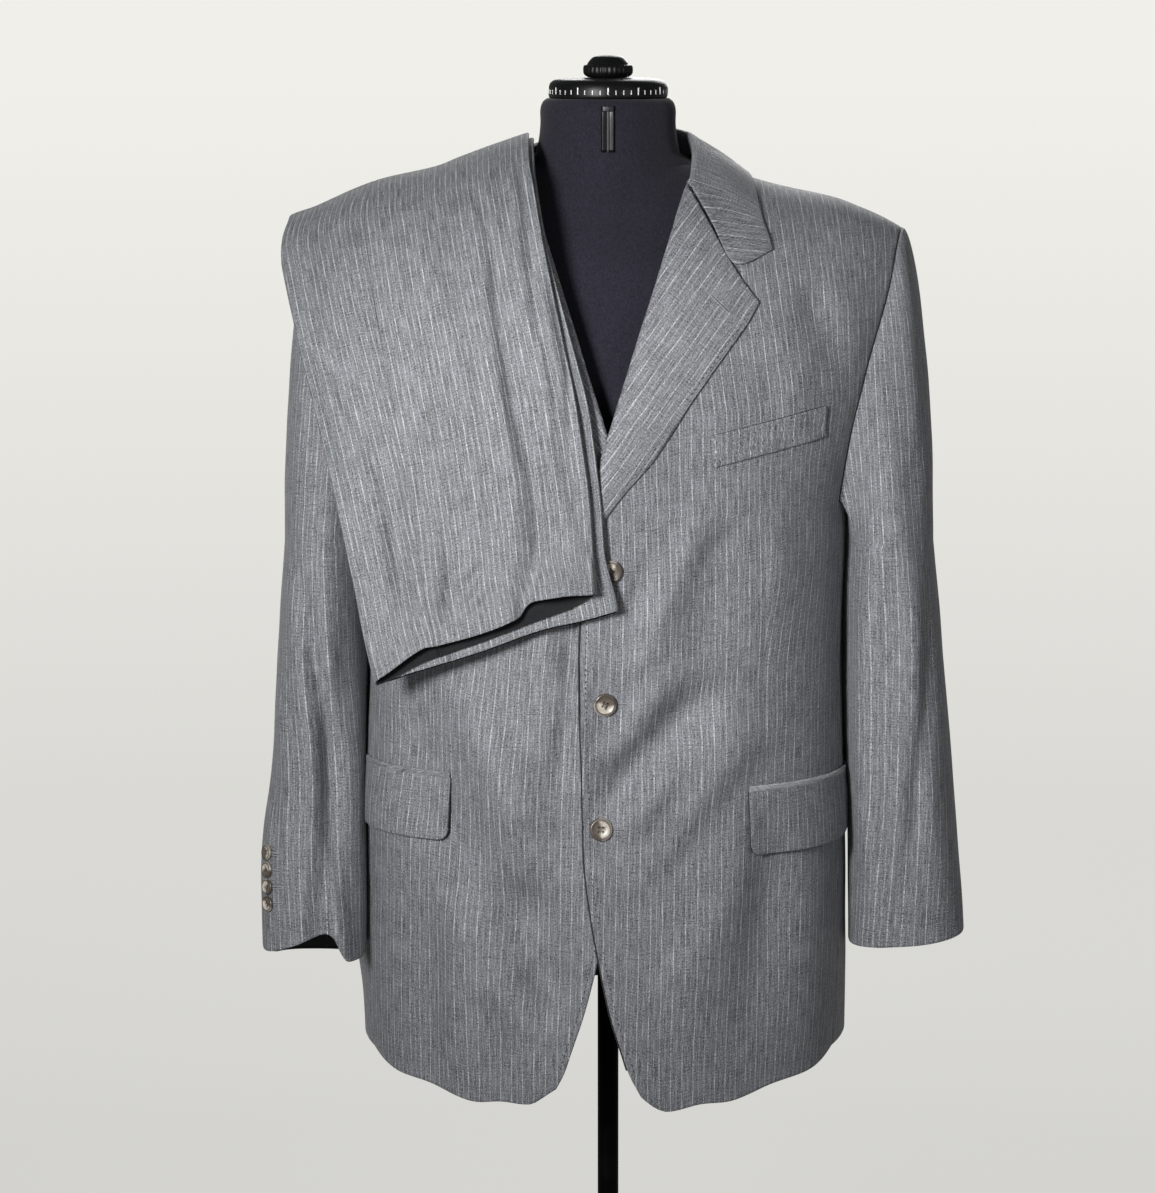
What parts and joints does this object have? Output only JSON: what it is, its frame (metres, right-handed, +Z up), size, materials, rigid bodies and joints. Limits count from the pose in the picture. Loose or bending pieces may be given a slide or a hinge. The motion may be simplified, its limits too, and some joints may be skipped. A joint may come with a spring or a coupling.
{
  "type": "two-piece suit on a dress form",
  "caption": "Single-breasted striped suit jacket buttoned on a dark limbless dress form on a pole stand, its folded trousers laid over one shoulder.",
  "frame": {"origin": "centre of the underside of the stand's round base plate, on the floor", "axes": "+Z up; the jacket faces -Y; the wearer's left side is +X"},
  "size_m": [0.6487, 0.398, 1.569],
  "materials": {
    "suit_cloth": "mid grey worsted with fine pale stripes",
    "trouser_cloth": "the same worsted, a little lighter and bluer",
    "button_horn": "brown-grey horn with four holes",
    "form_jersey": "navy-black jersey over a padded body",
    "black_plastic": "black, satin",
    "black_enamel": "black enamel, satin",
    "latch_metal": "pale metal"
  },
  "bodies": {
    "suit_and_form": {"base_hub": "black_enamel", "base_plate": "black_enamel", "breast_welt": "suit_cloth", "button_front_1": "button_horn", "button_front_2": "button_horn", "button_front_3": "button_horn", "collar": "suit_cloth", "cuff_button_left_1": "button_horn", "cuff_button_left_2": "button_horn", "cuff_button_left_3": "button_horn", "cuff_button_left_4": "button_horn", "cuff_button_right_1": "button_horn", "cuff_button_right_2": "button_horn", "cuff_button_right_3": "button_horn", "cuff_button_right_4": "button_horn", "form_torso": "form_jersey", "jacket_back_left": "suit_cloth", "jacket_back_right": "suit_cloth", "jacket_front_left": "suit_cloth", "jacket_front_right": "suit_cloth", "jacket_side_left": "suit_cloth", "jacket_side_right": "suit_cloth", "lapel_left": "suit_cloth", "lapel_right": "suit_cloth", "neck_dial": "black_plastic", "neck_latch": "latch_metal", "neck_slot": "black_plastic", "pocket_flap_left": "suit_cloth", "pocket_flap_right": "suit_cloth", "pocket_jet_left": "suit_cloth", "pocket_jet_right": "suit_cloth", "pole": "black_enamel", "sleeve_left_top": "suit_cloth", "sleeve_left_under": "suit_cloth", "sleeve_right_top": "suit_cloth", "sleeve_right_under": "suit_cloth", "trouser_left_back": "trouser_cloth", "trouser_left_front": "trouser_cloth", "trouser_right_back": "trouser_cloth", "trouser_right_front": "trouser_cloth", "waistband_left": "trouser_cloth", "waistband_right": "trouser_cloth"},
    "knob": {"neck_knob": "black_plastic"}
  },
  "joints": [
    {"name": "knob_turn", "type": "hinge", "parent": "suit_and_form", "child": "knob", "pos_m": [0, 0, 1.5493], "axis": [0, 0, 1], "continuous": true}
  ]
}
